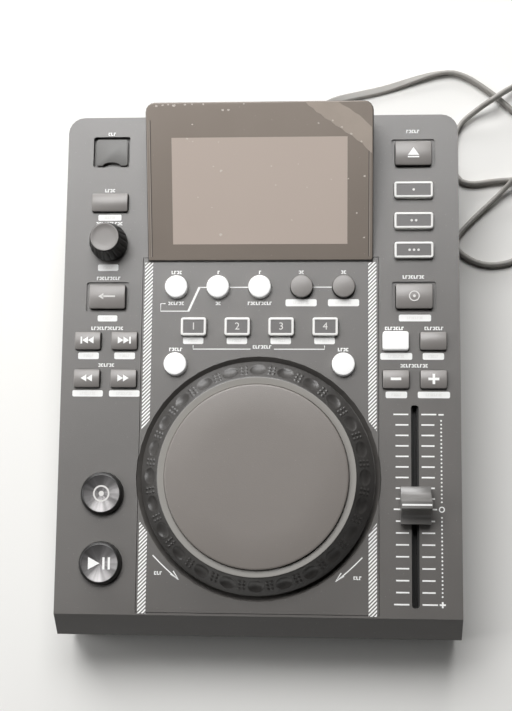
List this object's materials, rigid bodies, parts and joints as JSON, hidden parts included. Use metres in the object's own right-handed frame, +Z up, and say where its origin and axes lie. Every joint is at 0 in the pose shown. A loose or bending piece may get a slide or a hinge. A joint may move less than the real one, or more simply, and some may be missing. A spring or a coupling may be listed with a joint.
{
  "type": "tabletop dj cd player",
  "caption": "Tabletop player for discs and USB sticks: sloping panel with a jog wheel, pitch fader, keys and a raised display over a slot-in disc drive.",
  "frame": {"origin": "on the surface it stands on, under the middle of the body's box, without the mains lead", "axes": "+X to the user's right, +Y to the rear panel, +Z up"},
  "size_m": [0.3535, 0.3409, 0.0964],
  "materials": {
    "cover_plastic": "fine moulded texture, soft sheen",
    "tray_plastic": "black moulded texture",
    "trim_plastic": "fine moulded texture",
    "gloss_lens": "glossy lens over a tinted display",
    "jog_plate": "matte disc",
    "black_plastic": "satin black",
    "key_plastic": "satin grey cap",
    "lit_plastic": "translucent white cap",
    "metal": "turned metal",
    "sheet_metal": "folded plated sheet",
    "circuit_board": "green laminate",
    "rubber": "matte rubber",
    "lead_grey": "grey flexible sheath"
  },
  "bodies": {
    "housing": {"top_cover": "cover_plastic", "centre_plate": "trim_plastic", "bottom_tray": "tray_plastic", "rear_panel": "tray_plastic", "screen_housing": "trim_plastic", "screen_lens": "gloss_lens", "display_module": "black_plastic", "foot_front_left": "rubber", "foot_front_right": "rubber", "foot_rear_left": "rubber", "foot_rear_right": "rubber", "jog_bearing": "metal", "fader_body": "black_plastic", "usb_socket": "metal", "control_board": "circuit_board", "drive_chassis": "sheet_metal", "lead_connector": "lead_grey", "lead": "lead_grey", "lead_coil": "lead_grey", "mains_plug": "lead_grey"},
    "jog_wheel": {"jog_platter": "black_plastic", "jog_touch_plate": "jog_plate", "jog_spindle": "metal"},
    "pitch_fader": {"fader_cap": "black_plastic", "fader_lever": "metal"},
    "select_stem": {"encoder_stem": "metal"},
    "select_knob": {"encoder_knob": "black_plastic"},
    "usb_cover": {"usb_flap": "trim_plastic"},
    "rocker": {"power_switch": "black_plastic"},
    "turntable": {"drive_turntable": "metal"},
    "roller": {"feed_roller": "rubber"},
    "sled": {"pickup_sled": "black_plastic"},
    "back_button": {"back_key": "key_plastic"},
    "reverse_button": {"reverse_key": "key_plastic"},
    "track_back_button": {"track_back_key": "key_plastic"},
    "track_next_button": {"track_next_key": "key_plastic"},
    "search_back_button": {"search_back_key": "key_plastic"},
    "search_forward_button": {"search_forward_key": "key_plastic"},
    "cue_button": {"cue_key": "key_plastic"},
    "play_button": {"play_key": "key_plastic"},
    "eject_button": {"eject_key": "key_plastic"},
    "source_1_button": {"source_key_1": "key_plastic"},
    "source_2_button": {"source_key_2": "key_plastic"},
    "source_3_button": {"source_key_3": "key_plastic"},
    "jog_mode_button": {"jog_mode_key": "key_plastic"},
    "key_lock_button": {"key_lock_key": "lit_plastic"},
    "tap_button": {"tap_key": "key_plastic"},
    "bend_minus_button": {"bend_minus_key": "key_plastic"},
    "bend_plus_button": {"bend_plus_key": "key_plastic"},
    "auto_loop_button": {"auto_loop_key": "lit_plastic"},
    "loop_in_button": {"loop_in_key": "lit_plastic"},
    "loop_out_button": {"loop_out_key": "lit_plastic"},
    "loop_half_button": {"loop_half_key": "lit_plastic"},
    "loop_double_button": {"loop_double_key": "lit_plastic"},
    "hot_cue_1_button": {"hot_cue_key_1": "lit_plastic"},
    "hot_cue_2_button": {"hot_cue_key_2": "lit_plastic"},
    "hot_cue_3_button": {"hot_cue_key_3": "lit_plastic"},
    "hot_cue_4_button": {"hot_cue_key_4": "lit_plastic"},
    "shift_button": {"shift_key": "lit_plastic"},
    "slip_button": {"slip_key": "lit_plastic"}
  },
  "joints": [
    {"name": "jog_spin", "type": "hinge", "parent": "housing", "child": "jog_wheel", "pos_m": [0, -0.0622, 0.05708], "axis": [0, -0.0698, 0.9976], "continuous": true},
    {"name": "pitch_slide", "type": "slide", "parent": "housing", "child": "pitch_fader", "axis": [0, 0.9976, 0.0698], "range_m": [-0.05, 0.05]},
    {"name": "select_push", "type": "slide", "parent": "housing", "child": "select_stem", "axis": [0, 0.0698, -0.9976], "range_m": [0, 0.0008], "stiffness_N_per_m": 300, "springref_m": -0.0005},
    {"name": "select_turn", "type": "hinge", "parent": "select_stem", "child": "select_knob", "pos_m": [-0.08352, 0.06579, 0.06603], "axis": [0, -0.0698, 0.9976], "continuous": true},
    {"name": "flap_hinge", "type": "hinge", "parent": "housing", "child": "usb_cover", "pos_m": [-0.08352, 0.1249, 0.06896], "axis": [-1, 0, 0], "range_deg": [0, 95]},
    {"name": "rocker_tilt", "type": "hinge", "parent": "housing", "child": "rocker", "pos_m": [-0.062, 0.13492, 0.04], "axis": [1, 0, 0], "range_deg": [0, 18]},
    {"name": "disc_spin", "type": "hinge", "parent": "housing", "child": "turntable", "pos_m": [0, -0.07542, 0.024], "axis": [0, 0, 1], "continuous": true},
    {"name": "roller_spin", "type": "hinge", "parent": "housing", "child": "roller", "pos_m": [0, -0.13192, 0.0245], "axis": [1, 0, 0], "continuous": true},
    {"name": "sled_slide", "type": "slide", "parent": "housing", "child": "sled", "axis": [0, 1, 0], "range_m": [0, 0.03]},
    {"name": "back_press", "type": "slide", "parent": "housing", "child": "back_button", "axis": [0, 0.0698, -0.9976], "range_m": [0, 0.0012], "stiffness_N_per_m": 150, "springref_m": -0.0005},
    {"name": "reverse_press", "type": "slide", "parent": "housing", "child": "reverse_button", "axis": [0, 0.0698, -0.9976], "range_m": [0, 0.0012], "stiffness_N_per_m": 150, "springref_m": -0.0005},
    {"name": "track_back_press", "type": "slide", "parent": "housing", "child": "track_back_button", "axis": [0, 0.0698, -0.9976], "range_m": [0, 0.0012], "stiffness_N_per_m": 150, "springref_m": -0.0005},
    {"name": "track_next_press", "type": "slide", "parent": "housing", "child": "track_next_button", "axis": [0, 0.0698, -0.9976], "range_m": [0, 0.0012], "stiffness_N_per_m": 150, "springref_m": -0.0005},
    {"name": "search_back_press", "type": "slide", "parent": "housing", "child": "search_back_button", "axis": [0, 0.0698, -0.9976], "range_m": [0, 0.0012], "stiffness_N_per_m": 150, "springref_m": -0.0005},
    {"name": "search_forward_press", "type": "slide", "parent": "housing", "child": "search_forward_button", "axis": [0, 0.0698, -0.9976], "range_m": [0, 0.0012], "stiffness_N_per_m": 150, "springref_m": -0.0005},
    {"name": "cue_press", "type": "slide", "parent": "housing", "child": "cue_button", "axis": [0, 0.0698, -0.9976], "range_m": [0, 0.0012], "stiffness_N_per_m": 150, "springref_m": -0.0005},
    {"name": "play_press", "type": "slide", "parent": "housing", "child": "play_button", "axis": [0, 0.0698, -0.9976], "range_m": [0, 0.0012], "stiffness_N_per_m": 150, "springref_m": -0.0005},
    {"name": "eject_press", "type": "slide", "parent": "housing", "child": "eject_button", "axis": [0, 0.0698, -0.9976], "range_m": [0, 0.0012], "stiffness_N_per_m": 150, "springref_m": -0.0005},
    {"name": "source_1_press", "type": "slide", "parent": "housing", "child": "source_1_button", "axis": [0, 0.0698, -0.9976], "range_m": [0, 0.0012], "stiffness_N_per_m": 150, "springref_m": -0.0005},
    {"name": "source_2_press", "type": "slide", "parent": "housing", "child": "source_2_button", "axis": [0, 0.0698, -0.9976], "range_m": [0, 0.0012], "stiffness_N_per_m": 150, "springref_m": -0.0005},
    {"name": "source_3_press", "type": "slide", "parent": "housing", "child": "source_3_button", "axis": [0, 0.0698, -0.9976], "range_m": [0, 0.0012], "stiffness_N_per_m": 150, "springref_m": -0.0005},
    {"name": "jog_mode_press", "type": "slide", "parent": "housing", "child": "jog_mode_button", "axis": [0, 0.0698, -0.9976], "range_m": [0, 0.0012], "stiffness_N_per_m": 150, "springref_m": -0.0005},
    {"name": "key_lock_press", "type": "slide", "parent": "housing", "child": "key_lock_button", "axis": [0, 0.0698, -0.9976], "range_m": [0, 0.0012], "stiffness_N_per_m": 150, "springref_m": -0.0005},
    {"name": "tap_press", "type": "slide", "parent": "housing", "child": "tap_button", "axis": [0, 0.0698, -0.9976], "range_m": [0, 0.0012], "stiffness_N_per_m": 150, "springref_m": -0.0005},
    {"name": "bend_minus_press", "type": "slide", "parent": "housing", "child": "bend_minus_button", "axis": [0, 0.0698, -0.9976], "range_m": [0, 0.0012], "stiffness_N_per_m": 150, "springref_m": -0.0005},
    {"name": "bend_plus_press", "type": "slide", "parent": "housing", "child": "bend_plus_button", "axis": [0, 0.0698, -0.9976], "range_m": [0, 0.0012], "stiffness_N_per_m": 150, "springref_m": -0.0005},
    {"name": "auto_loop_press", "type": "slide", "parent": "housing", "child": "auto_loop_button", "axis": [0, 0.0698, -0.9976], "range_m": [0, 0.0012], "stiffness_N_per_m": 150, "springref_m": -0.0005},
    {"name": "loop_in_press", "type": "slide", "parent": "housing", "child": "loop_in_button", "axis": [0, 0.0698, -0.9976], "range_m": [0, 0.0012], "stiffness_N_per_m": 150, "springref_m": -0.0005},
    {"name": "loop_out_press", "type": "slide", "parent": "housing", "child": "loop_out_button", "axis": [0, 0.0698, -0.9976], "range_m": [0, 0.0012], "stiffness_N_per_m": 150, "springref_m": -0.0005},
    {"name": "loop_half_press", "type": "slide", "parent": "housing", "child": "loop_half_button", "axis": [0, 0.0698, -0.9976], "range_m": [0, 0.0012], "stiffness_N_per_m": 150, "springref_m": -0.0005},
    {"name": "loop_double_press", "type": "slide", "parent": "housing", "child": "loop_double_button", "axis": [0, 0.0698, -0.9976], "range_m": [0, 0.0012], "stiffness_N_per_m": 150, "springref_m": -0.0005},
    {"name": "hot_cue_1_press", "type": "slide", "parent": "housing", "child": "hot_cue_1_button", "axis": [0, 0.0698, -0.9976], "range_m": [0, 0.0012], "stiffness_N_per_m": 150, "springref_m": -0.0005},
    {"name": "hot_cue_2_press", "type": "slide", "parent": "housing", "child": "hot_cue_2_button", "axis": [0, 0.0698, -0.9976], "range_m": [0, 0.0012], "stiffness_N_per_m": 150, "springref_m": -0.0005},
    {"name": "hot_cue_3_press", "type": "slide", "parent": "housing", "child": "hot_cue_3_button", "axis": [0, 0.0698, -0.9976], "range_m": [0, 0.0012], "stiffness_N_per_m": 150, "springref_m": -0.0005},
    {"name": "hot_cue_4_press", "type": "slide", "parent": "housing", "child": "hot_cue_4_button", "axis": [0, 0.0698, -0.9976], "range_m": [0, 0.0012], "stiffness_N_per_m": 150, "springref_m": -0.0005},
    {"name": "shift_press", "type": "slide", "parent": "housing", "child": "shift_button", "axis": [0, 0.0698, -0.9976], "range_m": [0, 0.0012], "stiffness_N_per_m": 150, "springref_m": -0.0005},
    {"name": "slip_press", "type": "slide", "parent": "housing", "child": "slip_button", "axis": [0, 0.0698, -0.9976], "range_m": [0, 0.0012], "stiffness_N_per_m": 150, "springref_m": -0.0005}
  ]
}
